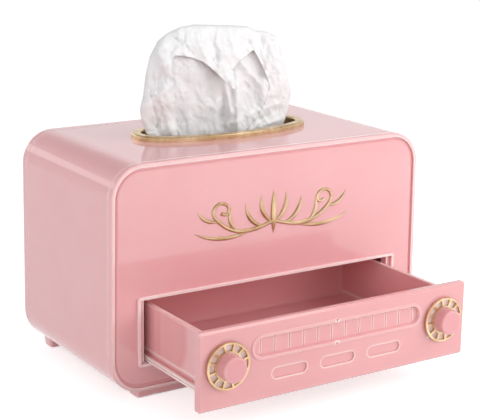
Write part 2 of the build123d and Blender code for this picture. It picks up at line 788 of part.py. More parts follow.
def tissue_section(z, centre_x, half_length, half_width, pleat, shrink):
    """Closed outline of straight folds: points lie alternately out on the oval and in from it."""
    points = []
    count = 2 * tissue_pleats
    for i in range(count):
        angle = 2 * math.pi * i / count
        depth = pleat if i % 2 else 0.0
        points.append((
            centre_x + (half_length - shrink - depth) * math.cos(angle),
            ring_y + (half_width - shrink - depth) * math.sin(angle), z,
        ))
    return make_face(Polyline(*points, close=True))


def make_tissue_sheet():
    """The tissue that stands out of the slot, as a pleated hood, open below."""
    start = shelf_top + push_gap + pack_height + tissue_gap
    # share of the rise, shift along X, shares of the half length and of the half depth, pleat
    rings = [
        (0.0, -0.9, 1.0, 1.0, 2.0), (0.22, -2.0, 1.10, 1.20, 3.0), (0.38, -1.8, 1.09, 1.24, 3.5),
        (0.52, -2.2, 1.03, 1.22, 4.0), (0.74, -3.2, 0.95, 1.14, 4.0), (0.88, -3.2, 0.86, 0.95, 3.5),
        (1.0, -5.0, 0.60, 0.5, 2.0),
    ]
    sections = [(start, 0.0, tissue_half_length * 0.88, tissue_mouth * 0.82, 2.0)]
    for share, x, along, across, pleat in rings:
        level = top_z + share * tissue_rise
        sections.append((level, x, tissue_half_length * along, tissue_mouth * across, pleat))
    hood = loft([tissue_section(*section, 0.0) for section in sections], ruled=True)
    shrink = tissue_thickness
    inside = [(z - (shrink if z > start else 1.0), *rest) for z, *rest in sections]
    hollow = loft([tissue_section(*section, shrink) for section in inside], ruled=True)
    return hood - hollow


pieces = {
    "housing_shell": make_housing_shell(),
    "front_fascia": make_front_fascia(),
    "rear_cover": make_rear_cover(),
    "shelf": make_shelf(),
    "runner_right": make_runner_right(),
    "runner_left": mirrored(make_runner_right()),
    "drawer_tray": make_drawer_tray(),
    "drawer_front": make_drawer_front(),
    "knob_left": make_knob(-knob_x),
    "knob_right": make_knob(knob_x),
    "dial_ring_left": make_dial_ring(-knob_x, dial_turn_left),
    "dial_ring_right": make_dial_ring(knob_x, dial_turn_right),
    "knob_washer_left": make_washer(-knob_x),
    "knob_washer_right": make_washer(knob_x),
    "slot_ring": make_slot_ring(),
    "front_ornament": make_front_ornament(),
    "foot_front": make_foot(front_foot_y, 0),
    "foot_rear": make_foot(rear_foot_y, running_gap),
    "foot_pads": make_foot_pads(),
    "fascia_screws": make_fascia_screws(),
    "runner_screws": make_runner_screws(),
    "shelf_screws": make_shelf_screws(),
    "drawer_screws": make_drawer_screws(),
    "tissue_pack": make_tissue_pack(),
    "tissue_sheet": make_tissue_sheet(),
}

os.makedirs("parts", exist_ok=True)
for name, piece in pieces.items():
    export_step(piece, f"parts/{name}.step")
    size = piece.bounding_box().size
    print(f"{name}: {len(piece.solids())} solid(s), {size.X:.1f} x {size.Y:.1f} x {size.Z:.1f} mm")
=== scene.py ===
import math
import random
import bpy
import bmesh
from mathutils import Matrix, Vector, noise


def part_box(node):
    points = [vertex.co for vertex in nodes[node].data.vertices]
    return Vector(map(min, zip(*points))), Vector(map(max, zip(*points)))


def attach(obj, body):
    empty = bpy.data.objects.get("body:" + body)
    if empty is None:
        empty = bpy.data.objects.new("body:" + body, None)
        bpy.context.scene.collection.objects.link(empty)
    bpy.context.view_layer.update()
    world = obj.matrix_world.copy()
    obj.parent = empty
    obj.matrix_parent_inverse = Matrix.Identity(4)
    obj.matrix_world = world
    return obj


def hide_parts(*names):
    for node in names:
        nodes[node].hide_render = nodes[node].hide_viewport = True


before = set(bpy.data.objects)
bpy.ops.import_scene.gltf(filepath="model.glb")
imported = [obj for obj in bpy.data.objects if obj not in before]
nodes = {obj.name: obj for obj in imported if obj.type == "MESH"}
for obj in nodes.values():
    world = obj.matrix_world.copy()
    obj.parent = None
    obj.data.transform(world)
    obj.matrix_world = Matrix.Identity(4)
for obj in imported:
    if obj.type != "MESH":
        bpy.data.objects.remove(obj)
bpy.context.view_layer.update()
mm = 0.001


def paint(red, green, blue):
    # screen colour, 0 to 255, to the linear colour that the nodes take
    parts = [channel / 255 for channel in (red, green, blue)]
    return tuple(((c + 0.055) / 1.055) ** 2.4 if c > 0.04 else c / 12.92 for c in parts) + (1.0,)


def clearSelection():
    bpy.ops.object.select_all(action="DESELECT")


def activate(piece):
    clearSelection()
    piece.select_set(True)
    bpy.context.view_layer.objects.active = piece
    return piece


camera = {
    "place": (-0.473027, -0.752742, 0.322707),
    "turn": -0.575152,   # about the vertical, radians
    "tilt": -0.251951,
    "roll": 0.012895,
    "lens": 103.5369,
    "sensor": 36.0,
}


def setCamera():
    bpy.ops.object.camera_add()
    eye = bpy.context.object
    eye.name = "studioCamera"
    turn = Matrix.Rotation(camera["turn"], 4, "Z")
    tilt = Matrix.Rotation(math.pi / 2 + camera["tilt"], 4, "X")
    roll = Matrix.Rotation(camera["roll"], 4, "Z")
    eye.matrix_world = Matrix.Translation(camera["place"]) @ turn @ tilt @ roll
    eye.data.lens = camera["lens"]
    eye.data.sensor_width = camera["sensor"]
    eye.data.sensor_fit = "HORIZONTAL"
    eye.data.clip_start = 0.01
    bpy.context.scene.camera = eye


setCamera()
print("camera set")


class Shader:
    # a material or a node group under work, with short ways to add and join nodes
    def __init__(self, tree):
        self.tree = tree

    def add(self, kind, **settings):
        made = self.tree.nodes.new(kind)
        for name, value in settings.items():
            if hasattr(made, name):
                setattr(made, name, value)
            else:
                made.inputs[name.replace("_", " ")].default_value = value
        return made

    def join(self, source, target):
        self.tree.links.new(source, target)

    def noiseMap(self, vector, scale, detail=2.0, roughness=0.5, distortion=0.0):
        made = self.add("ShaderNodeTexNoise", Scale=scale, Detail=detail, Roughness=roughness,
                        Distortion=distortion)
        self.join(vector, made.inputs["Vector"])
        return made.outputs["Fac"]

    def ramp(self, value, low, high, start=0.0, end=1.0):
        made = self.add("ShaderNodeMapRange")
        for name, number in (("From Min", low), ("From Max", high), ("To Min", start), ("To Max", end)):
            made.inputs[name].default_value = number
        self.join(value, made.inputs["Value"])
        return made.outputs["Result"]

    def maths(self, operation, first, second):
        made = self.add("ShaderNodeMath", operation=operation)
        for socket, value in zip(made.inputs, (first, second)):
            if isinstance(value, (int, float)):
                socket.default_value = value
            else:
                self.join(value, socket)
        return made.outputs[0]

    def mixColour(self, factor, first, second, blend="MIX"):
        made = self.add("ShaderNodeMix", data_type="RGBA", blend_type=blend)
        for socket, value in ((made.inputs[0], factor), (made.inputs[6], first), (made.inputs[7], second)):
            if isinstance(value, (int, float, tuple)):
                socket.default_value = value
            else:
                self.join(value, socket)
        return made.outputs[2]

    def stretch(self, vector, scale, rotation=(0, 0, 0)):
        made = self.add("ShaderNodeMapping")
        made.inputs["Scale"].default_value = scale
        made.inputs["Rotation"].default_value = rotation
        self.join(vector, made.inputs["Vector"])
        return made.outputs["Vector"]


def newGroup(name, inputs, outputs):
    tree = bpy.data.node_groups.new(name, "ShaderNodeTree")
    for label, kind, value in inputs:
        socket = tree.interface.new_socket(name=label, in_out="INPUT", socket_type=kind)
        if value is not None:
            socket.default_value = value
    for label, kind in outputs:
        tree.interface.new_socket(name=label, in_out="OUTPUT", socket_type=kind)
    shader = Shader(tree)
    return shader, shader.add("NodeGroupInput"), shader.add("NodeGroupOutput")


def makeSkinAndEdgeHighlight():
    # colour drift, faint flow marks, hairline rub marks and dust of a moulded plastic surface, and a painted
    # highlight along its edges
    shader, given, out = newGroup(
        "skinAndEdgeHighlight",
        [("Vector", "NodeSocketVector", None), ("Colour", "NodeSocketColor", (0.8, 0.4, 0.4, 1)),
         ("Pale", "NodeSocketColor", (0.9, 0.6, 0.6, 1)), ("Drift", "NodeSocketFloat", 0.3),
         ("Roughness", "NodeSocketFloat", 0.2), ("Rub", "NodeSocketFloat", 0.1),
         ("Edge", "NodeSocketFloat", 0.5)],
        [("Colour", "NodeSocketColor"), ("Roughness", "NodeSocketFloat"), ("Height", "NodeSocketFloat")],
    )
    where = given.outputs["Vector"]
    drift = shader.ramp(shader.noiseMap(where, 16, 2, 0.5, 0.6), 0.35, 0.68)
    flow = shader.noiseMap(shader.stretch(where, (22, 22, 90)), 1.0, 3, 0.6, 1.2)
    amount = shader.maths("MULTIPLY", shader.maths("ADD", shader.maths("MULTIPLY", drift, 0.75),
                                                   shader.maths("MULTIPLY", flow, 0.25)),
                          given.outputs["Drift"])
    tinted = shader.mixColour(amount, given.outputs["Colour"], given.outputs["Pale"])
    fleck = shader.ramp(shader.noiseMap(where, 900, 1, 0.4), 0.74, 0.80)
    colour = shader.mixColour(shader.maths("MULTIPLY", fleck, 0.05), tinted, paint(255, 240, 238))
    # painted highlight: near edges and beads, where occlusion inside the plastic is short, the colour is mixed
    # towards a pale pink that stands in for the shine of the rounded edges
    edgeHighlightProbe = shader.add("ShaderNodeAmbientOcclusion", samples=8, inside=True, only_local=True, Distance=2.0 * mm)
    edge = shader.ramp(edgeHighlightProbe.outputs["AO"], 0.85, 0.5)
    edgeHighlightAmount = shader.maths("MULTIPLY", edge, given.outputs["Edge"])
    shader.join(shader.mixColour(edgeHighlightAmount, colour, paint(255, 236, 233)), out.inputs["Colour"])
    hairs = []
    for scale, angle in (((30, 1400, 1400), 0.5), ((1200, 40, 900), -0.35)):
        streak = shader.noiseMap(shader.stretch(where, scale, (angle, angle, angle)), 1.0, 1, 0.5)
        hairs.append(shader.ramp(streak, 0.70, 0.78))
    rub = shader.maths("MULTIPLY", shader.maths("MAXIMUM", hairs[0], hairs[1]), given.outputs["Rub"])
    cloud = shader.ramp(shader.noiseMap(where, 40, 3, 0.6), 0.3, 0.7, 0.85, 1.2)
    rough = shader.maths("ADD", shader.maths("MULTIPLY", given.outputs["Roughness"], cloud), rub)
    shader.join(rough, out.inputs["Roughness"])
    peel = shader.noiseMap(where, 260, 1, 0.4)
    shader.join(peel, out.inputs["Height"])
    return shader.tree


skinAndEdgeHighlight = makeSkinAndEdgeHighlight()


def newMaterial(name):
    material = bpy.data.materials.new(name)
    material.use_nodes = True
    shader = Shader(material.node_tree)
    surface = material.node_tree.nodes["Principled BSDF"]
    where = shader.add("ShaderNodeTexCoord").outputs["Object"]
    return material, shader, surface, where


def giveRelief(shader, surface, height, distance, strength=1.0):
    bump = shader.add("ShaderNodeBump")
    bump.inputs["Strength"].default_value = strength
    bump.inputs["Distance"].default_value = distance
    shader.join(height, bump.inputs["Height"])
    shader.join(bump.outputs["Normal"], surface.inputs["Normal"])


def glossyPlastic(name, look):
    material, shader, surface, where = newMaterial(name)
    skin = shader.add("ShaderNodeGroup", node_tree=skinAndEdgeHighlight)
    shader.join(where, skin.inputs["Vector"])
    skin.inputs["Colour"].default_value = look["colour"]
    skin.inputs["Pale"].default_value = look["pale"]
    skin.inputs["Drift"].default_value = look["drift"]
    skin.inputs["Roughness"].default_value = look["roughness"]
    skin.inputs["Rub"].default_value = look["rub"]
    # strength of the painted highlight along edges
    skin.inputs["Edge"].default_value = look["edge"]
    shader.join(skin.outputs["Colour"], surface.inputs["Base Color"])
    shader.join(skin.outputs["Roughness"], surface.inputs["Roughness"])
    surface.inputs["IOR"].default_value = 1.46
    surface.inputs["Coat Weight"].default_value = look["coat"]
    surface.inputs["Coat Roughness"].default_value = 0.03
    surface.inputs["Subsurface Weight"].default_value = look["glow"]
    surface.inputs["Subsurface Radius"].default_value = (1.0, 0.45, 0.45)
    surface.inputs["Subsurface Scale"].default_value = 3.0 * mm
    giveRelief(shader, surface, skin.outputs["Height"], look["peel"] * mm, 0.5)
    return material


pinkLook = {
    "colour": paint(234, 171, 174),
    "pale": paint(240, 186, 188),
    "drift": 0.35,
    "roughness": 0.1,
    "rub": 0.03,
    "coat": 0.4,
    "peel": 0.008,
    # strength of the painted highlight along edges
    "edge": 1.0,
    "glow": 0.25,
}
casePink = glossyPlastic("casePink", pinkLook)
drawerPink = glossyPlastic("drawerPink", {**pinkLook, "colour": paint(230, 165, 167), "pale": paint(236, 178, 180)})
knobPink = glossyPlastic("knobPink", {
    # a weaker painted highlight along the knob's edges
    **pinkLook, "colour": paint(226, 156, 160), "pale": paint(234, 172, 174), "roughness": 0.16, "edge": 0.6,
})
innerPink = glossyPlastic("innerPink", {
    **pinkLook, "colour": paint(226, 156, 158), "pale": paint(230, 164, 165), "roughness": 0.42, "rub": 0.12,
    "coat": 0.0, "peel": 0.05,
})


def goldPlate(name, look):
    # plated trim: fine satin grain, slight tarnish clouds and tiny pits
    material, shader, surface, where = newMaterial(name)
    tarnish = shader.ramp(shader.noiseMap(where, 60, 4, 0.6, 0.4), 0.38, 0.72)
    colour = shader.mixColour(tarnish, look["bright"], look["deep"])
    shader.join(colour, surface.inputs["Base Color"])
    grain = shader.noiseMap(shader.stretch(where, (180, 180, 2600)), 1.0, 2, 0.6)
    rough = shader.ramp(grain, 0.3, 0.7, look["roughness"] - 0.05, look["roughness"] + 0.08)
    shader.join(rough, surface.inputs["Roughness"])
    surface.inputs["Metallic"].default_value = 1.0
    pits = shader.noiseMap(where, 1500, 2, 0.5)
    height = shader.maths("ADD", shader.maths("MULTIPLY", grain, 0.6), shader.maths("MULTIPLY", pits, 0.4))
    giveRelief(shader, surface, height, look["grain"] * mm, 0.5)
    return material


goldLook = {"bright": paint(238, 212, 172), "deep": paint(196, 160, 114), "roughness": 0.3, "grain": 0.015}
ringGold = goldPlate("ringGold", goldLook)
dialGold = goldPlate("dialGold", {**goldLook, "roughness": 0.36})
ornamentGold = goldPlate("ornamentGold", {**goldLook, "roughness": 0.34})


def screwSteel():
    material, shader, surface, where = newMaterial("zincSteel")
    cloud = shader.noiseMap(where, 500, 3, 0.6)
    shader.join(shader.mixColour(cloud, paint(176, 178, 182), paint(208, 208, 206)), surface.inputs["Base Color"])
    shader.join(shader.ramp(cloud, 0.3, 0.7, 0.28, 0.45), surface.inputs["Roughness"])
    surface.inputs["Metallic"].default_value = 1.0
    giveRelief(shader, surface, cloud, 0.01 * mm, 0.5)
    return material


def padRubber():
    material, shader, surface, where = newMaterial("padRubber")
    speck = shader.noiseMap(where, 700, 3, 0.7)
    shader.join(shader.mixColour(speck, paint(196, 138, 138), paint(214, 158, 156)), surface.inputs["Base Color"])
    shader.join(shader.ramp(speck, 0.3, 0.7, 0.7, 0.9), surface.inputs["Roughness"])
    giveRelief(shader, surface, speck, 0.05 * mm, 0.6)
    return material


zincSteel = screwSteel()
softRubber = padRubber()


def tissuePaper():
    # creped paper: sharp little creases over fine ridges and fibres, with painted shade where it lies folded in
    material, shader, surface, where = newMaterial("tissuePaper")
    crepe = shader.noiseMap(shader.stretch(where, (260, 260, 2400)), 1.0, 3, 0.6, 0.3)
    fibre = shader.noiseMap(where, 1300, 4, 0.7)
    mottle = shader.noiseMap(where, 90, 3, 0.6)
    shade = shader.maths("ADD", shader.maths("MULTIPLY", fibre, 0.5), shader.maths("MULTIPLY", mottle, 0.5))
    paper = shader.mixColour(shader.ramp(shade, 0.35, 0.65), paint(232, 231, 232), paint(245, 245, 246))
    # painted shade: where other layers lie within 16 mm, occlusion greys the paper towards a shadowed tone
    folded = shader.add("ShaderNodeAmbientOcclusion", samples=8, Distance=16 * mm)
    depth = shader.ramp(folded.outputs["AO"], 0.75, 0.3)
    shader.join(shader.mixColour(shader.maths("MULTIPLY", depth, 0.45), paper, paint(214, 208, 207)),
                surface.inputs["Base Color"])
    shader.join(shader.ramp(fibre, 0.3, 0.7, 0.8, 0.95), surface.inputs["Roughness"])
    surface.inputs["Specular IOR Level"].default_value = 0.2
    surface.inputs["Sheen Weight"].default_value = 0.1
    surface.inputs["Sheen Roughness"].default_value = 0.6
    height = shader.maths("ADD", shader.maths("MULTIPLY", crepe, 0.05), shader.maths("MULTIPLY", fibre, 0.03))
    bent = shader.add("ShaderNodeVectorMath", operation="MULTIPLY_ADD")
    wave = shader.add("ShaderNodeTexNoise", Scale=55, Detail=2)
    shader.join(where, wave.inputs["Vector"])
    shader.join(wave.outputs["Color"], bent.inputs[0])
    bent.inputs[1].default_value = (0.012, 0.012, 0.012)
    shader.join(where, bent.inputs[2])
    for scale, share in (((60, 60, 45), 1.0), ((130, 130, 95), 0.55), ((300, 300, 210), 0.22)):
        cells = shader.add("ShaderNodeTexVoronoi", Scale=1.0, Randomness=1.0)
        shader.join(shader.stretch(bent.outputs["Vector"], scale, (0.3, 0.2, 0.1)), cells.inputs["Vector"])
        height = shader.maths("ADD", height, shader.maths("MULTIPLY", cells.outputs["Distance"], share))
    giveRelief(shader, surface, height, 0.8 * mm, 0.7)
    return material


paperWhite = tissuePaper()

finishes = {
    "housing_shell": casePink, "front_fascia": casePink, "rear_cover": casePink, "foot_front": casePink,
    "foot_rear": casePink, "drawer_tray": drawerPink, "drawer_front": drawerPink, "knob_left": knobPink,
    "knob_right": knobPink, "shelf": innerPink, "runner_left": innerPink, "runner_right": innerPink,
    "slot_ring": ringGold, "dial_ring_left": dialGold, "dial_ring_right": dialGold,
    "front_ornament": ornamentGold, "foot_pads": softRubber, "knob_washer_left": zincSteel,
    "knob_washer_right": zincSteel, "fascia_screws": zincSteel, "runner_screws": zincSteel,
    "shelf_screws": zincSteel, "drawer_screws": zincSteel, "tissue_pack": paperWhite,
    "tissue_sheet": paperWhite,
}
for name, material in finishes.items():
    nodes[name].data.materials.clear()
    nodes[name].data.materials.append(material)
print("materials made")

# The tissue is one sheet, pulled up, folded over and hanging open at the front.
# Its lines are drawn as the camera sees them, in millimetres of x and z on the upright plane
# through the middle of the slot, and each point then moves along its line of sight.
tissue = {
    "plane": 2.5,
    "left": [(-44.5, 122.7), (-48.5, 137.0), (-54.1, 148.5), (-58.7, 159.8), (-59.5, 167.0), (-57.2, 174.5),
             (-55.3, 188.1), (-52.3, 199.2), (-46.6, 208.6)],
    "top": [(-46.6, 208.6), (-39.7, 213.2), (-29.9, 216.6), (-20.0, 217.5), (-5.7, 216.5), (8.0, 215.5),
            (20.2, 214.2), (26.3, 211.2), (35.2, 210.1), (44.3, 206.3)],
    "right": [(44.5, 122.7), (47.5, 137.0), (50.7, 147.4), (54.1, 156.4), (56.1, 167.5), (54.6, 173.9),
              (51.1, 187.1), (48.6, 194.0), (44.3, 206.3)],
    "step": 0.75,
    "thickness": 0.3,
    "roundness": 13.0,     # how fast the hood swells from its outline
    "facets": [(17.0, 0.3), (8.0, 0.22)],     # size of the creases' facets and how far they lean
    "opening": [(-31.0, 120.0), (-32.3, 146.0), (-33.3, 160.4), (-35.4, 176.6), (-36.6, 191.0),
                (-36.3, 196.8), (-35.0, 198.2), (-32.3, 198.6), (-27.4, 198.0), (-22.4, 196.7), (-14.0, 193.7),
                (-8.9, 190.2), (-3.7, 186.1), (5.0, 177.8), (12.0, 172.2), (11.5, 177.3), (9.7, 186.3),
                (10.5, 188.4), (15.3, 192.4), (20.5, 195.5), (25.5, 198.7), (28.4, 194.6), (33.9, 185.3),
                (36.8, 179.1), (38.9, 173.6), (36.2, 164.8), (30.9, 156.1), (24.8, 149.1), (19.5, 145.0),
                (18.0, 120.0)],
    "fade": [(38.9, 173.6), (36.2, 164.8), (30.9, 156.1), (24.8, 149.1), (19.5, 145.0), (18.0, 120.0)],
    "fadeReach": 13.0,
    # spots: x, z and how far the layer stands towards the camera there
    "front": [(-50, 150, 5), (-42, 150, 8), (-34, 150, 11), (-36, 178, 15), (-37, 196, 15), (-20, 199, 15),
              (-2, 186, 16), (12, 173, 19), (9, 190, 12), (25, 200, 8), (38, 176, 10), (34, 152, 8),
              (48, 160, 6), (0, 212, 9), (30, 209, 7), (-32, 212, 9), (-48, 188, 9), (0, 124, 4),
              (-40, 126, 2), (40, 126, 2)],
    "inner": [(-40, 150, 3), (-34, 150, 2), (-34, 176, 8), (-31, 196, 10), (-16, 190, 9), (-14, 170, 5),
              (-12, 150, 1), (0, 180, 9), (4, 165, 4), (9, 187, 4), (14, 172, 1), (18, 150, 1), (24, 196, 3),
              (31, 186, 4), (0, 124, -1), (-30, 124, -2), (30, 124, 0), (0, 205, 8)],
    "back": [(-45, 150, -6), (0, 150, -10), (40, 150, -6), (-40, 180, -10), (0, 185, -13), (40, 180, -9),
             (0, 208, -8), (0, 124, -4), (-40, 126, -2), (40, 126, -2)],
    # creases: from x, z to x, z, height, and how wide they are at a third of the height
    "frontCreases": [
        (-52.0, 176.4, -44.7, 147.0, -2.6, 3.0), (-35.6, 211, -25.7, 198, 1.8, 4.0),
        (-22.4, 214.5, -8.9, 202.0, -1.8, 3.5), (-27.4, 206.2, -19.0, 196.5, -1.4, 3.0),
        (8.9, 208.3, 22.0, 203.9, -1.6, 2.5), (22.0, 203.9, 31.8, 204.4, -1.3, 2.5),
        (6.4, 205.9, 11.6, 200.9, 1.2, 3.0), (26.4, 210.3, 42.4, 207.0, 1.4, 3.0),
        (2.2, 199.3, 9.7, 188.0, 1.6, 3.5), (-56.0, 183.0, -42.0, 186.0, -1.5, 3.0),
        (-47.0, 206.0, -41.0, 188.0, 1.6, 4.0), (40.0, 196.0, 50.0, 172.0, 1.2, 4.0),
        (16.8, 145.3, 51.1, 150.5, 1.6, 2.5), (20.0, 148.0, 47.3, 157.5, -1.6, 2.5),
        (24.0, 156.0, 53.5, 163.0, 1.5, 3.0),
    ],
    "innerCreases": [
        (12.2, 176.0, 15.6, 120.0, 8.0, 4.4), (2.0, 176.0, 4.4, 120.0, -2.0, 2.6),
        (4.0, 176.0, 8.4, 158.0, 3.0, 2.4), (8.4, 158.0, 5.0, 150.0, 2.0, 2.0),
        (16.2, 190.3, 34.7, 172.1, 2.4, 2.6), (20.7, 178.0, 31.6, 168.0, 1.6, 2.2),
        (-22.0, 197.0, -24.0, 150.0, 0.9, 6.0), (-8.0, 176.0, -14.0, 146.0, -1.2, 4.0),
    ],
    "backCreases": [
        (-30.0, 205.0, -38.0, 140.0, 3.0, 5.0), (-8.0, 214.0, -14.0, 140.0, -4.0, 5.0),
        (14.0, 208.0, 10.0, 140.0, 3.5, 5.0), (34.0, 204.0, 30.0, 140.0, -3.0, 5.0),
    ],
}


def pointOnLine(points, share):
    # the point at a share of the way along a run of straight pieces
    lengths = [math.dist(first, second) for first, second in zip(points, points[1:])]
    left = share * sum(lengths)
    for index, length in enumerate(lengths):
        if left <= length or index == len(lengths) - 1:
            part = min(1.0, left / length)
            return Vector(points[index]).lerp(Vector(points[index + 1]), part)
        left -= length


def distanceToRun(point, points):
    nearest = None
    for first, second in zip(points, points[1:]):
        start, run = Vector(first), Vector(second) - Vector(first)
        share = max(0.0, min(1.0, (point - start).dot(run) / run.length_squared))
        spot = start + run * share
        gap = (point - spot).length
        if nearest is None or gap < nearest[0]:
            nearest = (gap, spot)
    return nearest


def isInside(point, outline):
    inside = False
    for (x0, z0), (x1, z1) in zip(outline, outline[1:] + outline[:1]):
        if (z0 > point.y) != (z1 > point.y) and point.x < (x1 - x0) * (point.y - z0) / (z1 - z0) + x0:
            inside = not inside
    return inside


def smoothStep(value, low, high):
    share = max(0.0, min(1.0, (value - low) / (high - low)))
    return share * share * (3 - 2 * share)


def spotDepth(point, spots):
    # smooth surface through the spots
    total, weights = 0.0, 0.0
    for x, z, depth in spots:
        weight = 1.0 / ((point.x - x) ** 2 + (point.y - z) ** 2 + 20.0) ** 1.6
        total += weight * depth
        weights += weight
    return total / weights


def creaseDepth(point, creases):
    total = 0.0
    for x0, z0, x1, z1, height, width in creases:
        gap = distanceToRun(point, [(x0, z0), (x1, z1)])[0]
        if gap < 6 * width:
            total += height * math.exp(-gap / width)
    return total


def facetHeight(x, z, seed, tilt):
    # paper bent into flat facets: each cell of the pattern leans its own way
    spans, spots = noise.voronoi((x, z, seed))
    heights = []
    for spot in spots[:2]:
        lean = noise.noise_vector(spot * 7.3) * tilt
        heights.append(lean.x * (x - spot.x) + lean.y * (z - spot.y))
    share = smoothStep(spans[1] - spans[0], 0.0, 0.45)
    return (heights[0] + heights[1]) / 2 * (1 - share) + heights[0] * share


def crumple(point, seed):
    # a fan of gathers from the slot, and flat facets with sharp creases between them
    angle = math.atan2(point.x, point.y - 96)
    reach = math.hypot(point.x, point.y - 96)
    gather = noise.noise((angle * 14, reach * 0.02, seed)) * (1.0 - 0.65 * smoothStep(point.y, 150, 190))
    bend = noise.noise_vector((point.x * 0.05, point.y * 0.05, seed)) * 3.0
    x, z = point.x + bend.x, point.y + bend.y
    total = 1.3 * gather
    for size, tilt in tissue["facets"]:
        total += size * facetHeight(x / size, z / (size * 0.8), seed + size, tilt)
    ridges = abs(noise.noise((x * 0.085, z * 0.06, seed + 3.1)))
    ridges += 0.5 * abs(noise.noise((x * 0.19 + z * 0.08, z * 0.13, seed + 7.7)))
    ridges += 0.22 * abs(noise.noise((x * 0.45 + z * 0.2, z * 0.28, seed + 12.3)))
    return total - 3.4 * ridges


def sightPoint(point, depth):
    # the flat drawing's point, moved towards the camera by depth; level below the slot
    flat = Vector((point.x, tissue["plane"], point.y))
    toward = (Vector(camera["place"]) / mm - flat).normalized()
    toward.z *= smoothStep(point.y, 136, 156)
    return (flat + toward * depth) * mm


def outlinePoint(u, v):
    # patch between the four lines of the outline, u across and v up
    left, right = pointOnLine(tissue["left"], v), pointOnLine(tissue["right"], v)
    low = Vector(tissue["left"][0]).lerp(Vector(tissue["right"][0]), u)
    high = pointOnLine(tissue["top"], u)
    corners = (Vector(tissue["left"][0]).lerp(Vector(tissue["right"][0]), u) * (1 - v)
               + Vector(tissue["top"][0]).lerp(Vector(tissue["top"][-1]), u) * v)
    return low * (1 - v) + high * v + left * (1 - u) + right * u - corners


def swell(u, v):
    gap = min(min(u, 1 - u) * 105, (1 - v) * 92) / tissue["roundness"]
    return math.sqrt(1 - (1 - min(1.0, gap)) ** 2)


def frontDepth(point):
    return spotDepth(point, tissue["front"]) + creaseDepth(point, tissue["frontCreases"]) + crumple(point, 1.0)


def innerDepth(point):
    own = spotDepth(point, tissue["inner"]) + creaseDepth(point, tissue["innerCreases"]) + 0.7 * crumple(point, 5.0)
    gap = distanceToRun(point, tissue["fade"])[0]
    if not isInside(point, tissue["opening"]) and point.x > 15:
        gap = 0.0
    share = 1.0 - smoothStep(gap, 0, tissue["fadeReach"])
    depth = own + (frontDepth(point) - 0.25 - own) * share
    return depth if isInside(point, tissue["opening"]) else min(depth, frontDepth(point) - 1.2)


def backDepth(point):
    return spotDepth(point, tissue["back"]) + creaseDepth(point, tissue["backCreases"]) + crumple(point, 9.0)


def addGrid(mesh, across, up, place):
    rows = [[mesh.verts.new(place(i / across, j / up)) for i in range(across + 1)] for j in range(up + 1)]
    for low, high in zip(rows, rows[1:]):
        for i in range(across):
            mesh.faces.new((low[i], low[i + 1], high[i + 1], high[i]))


def makeTissueSheet():
    step = tissue["step"]
    across, up = round(104 / step), round(94 / step)
    mesh = bmesh.new()

    # hood's front, with its free edge cut to the opening's line
    flat = {}
    for j in range(up + 1):
        for i in range(across + 1):
            flat[i, j] = outlinePoint(i / across, j / up)
    inside = {key: isInside(point, tissue["opening"]) for key, point in flat.items()}
    made = {}

    def frontVertex(key):
        if key not in made:
            point = flat[key]
            if inside[key]:
                point = distanceToRun(point, tissue["opening"] + tissue["opening"][:1])[1]
            u, v = key[0] / across, key[1] / up
            made[key] = mesh.verts.new(sightPoint(point, swell(u, v) * frontDepth(point)))
        return made[key]

    for j in range(up):
        for i in range(across):
            keys = [(i, j), (i + 1, j), (i + 1, j + 1), (i, j + 1)]
            if not all(inside[key] for key in keys):
                mesh.faces.new([frontVertex(key) for key in keys])

    # hood's back
    def backPlace(u, v):
        point = outlinePoint(u, v)
        return sightPoint(point, swell(u, v) * backDepth(point))

    addGrid(mesh, across, up, backPlace)

    # inner fold, seen through the opening
    def innerPlace(u, v):
        point = Vector((-43 + 86 * u, 122.7 + 82 * v))
        lower = smoothStep(point.y, 122, 140)
        point.x *= 0.86 + 0.14 * lower
        return sightPoint(point, innerDepth(point))

    addGrid(mesh, round(86 / step), round(82 / step), innerPlace)
    bmesh.ops.remove_doubles(mesh, verts=mesh.verts, dist=0.02 * mm)
    bmesh.ops.dissolve_degenerate(mesh, edges=mesh.edges, dist=0.02 * mm)
    bmesh.ops.recalc_face_normals(mesh, faces=mesh.faces)
    data = bpy.data.meshes.new("pulledTissue")
    mesh.to_mesh(data)
    mesh.free()
    piece = bpy.data.objects.new("pulledTissue", data)
    bpy.context.scene.collection.objects.link(piece)
    activate(piece)
    wall = piece.modifiers.new("wall", "SOLIDIFY")
    wall.thickness = tissue["thickness"] * mm
    wall.offset = 0
    bpy.ops.object.modifier_apply(modifier=wall.name)
    bpy.ops.object.shade_smooth()
    piece.data.materials.append(paperWhite)
    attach(piece, "tissue")
    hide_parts("tissue_sheet")
    return piece


makeTissueSheet()
print("tissue pulled up")

tissuePile = {
    "corner": 9.0,
    "layers": 18,
    "wander": 0.5,     # how far the folded tissues lie out of line
}


def selectEdges(piece, wanted):
    # leaves exactly the edges for which wanted(first, second) holds selected, in edit mode
    bpy.ops.object.mode_set(mode="EDIT")
    bpy.ops.mesh.select_mode(type="EDGE")
    bpy.ops.mesh.select_all(action="DESELECT")
    bpy.ops.object.mode_set(mode="OBJECT")
    points = piece.data.vertices
    for edge in piece.data.edges:
        edge.select = wanted(points[edge.vertices[0]].co, points[edge.vertices[1]].co)
    bpy.ops.object.mode_set(mode="EDIT")


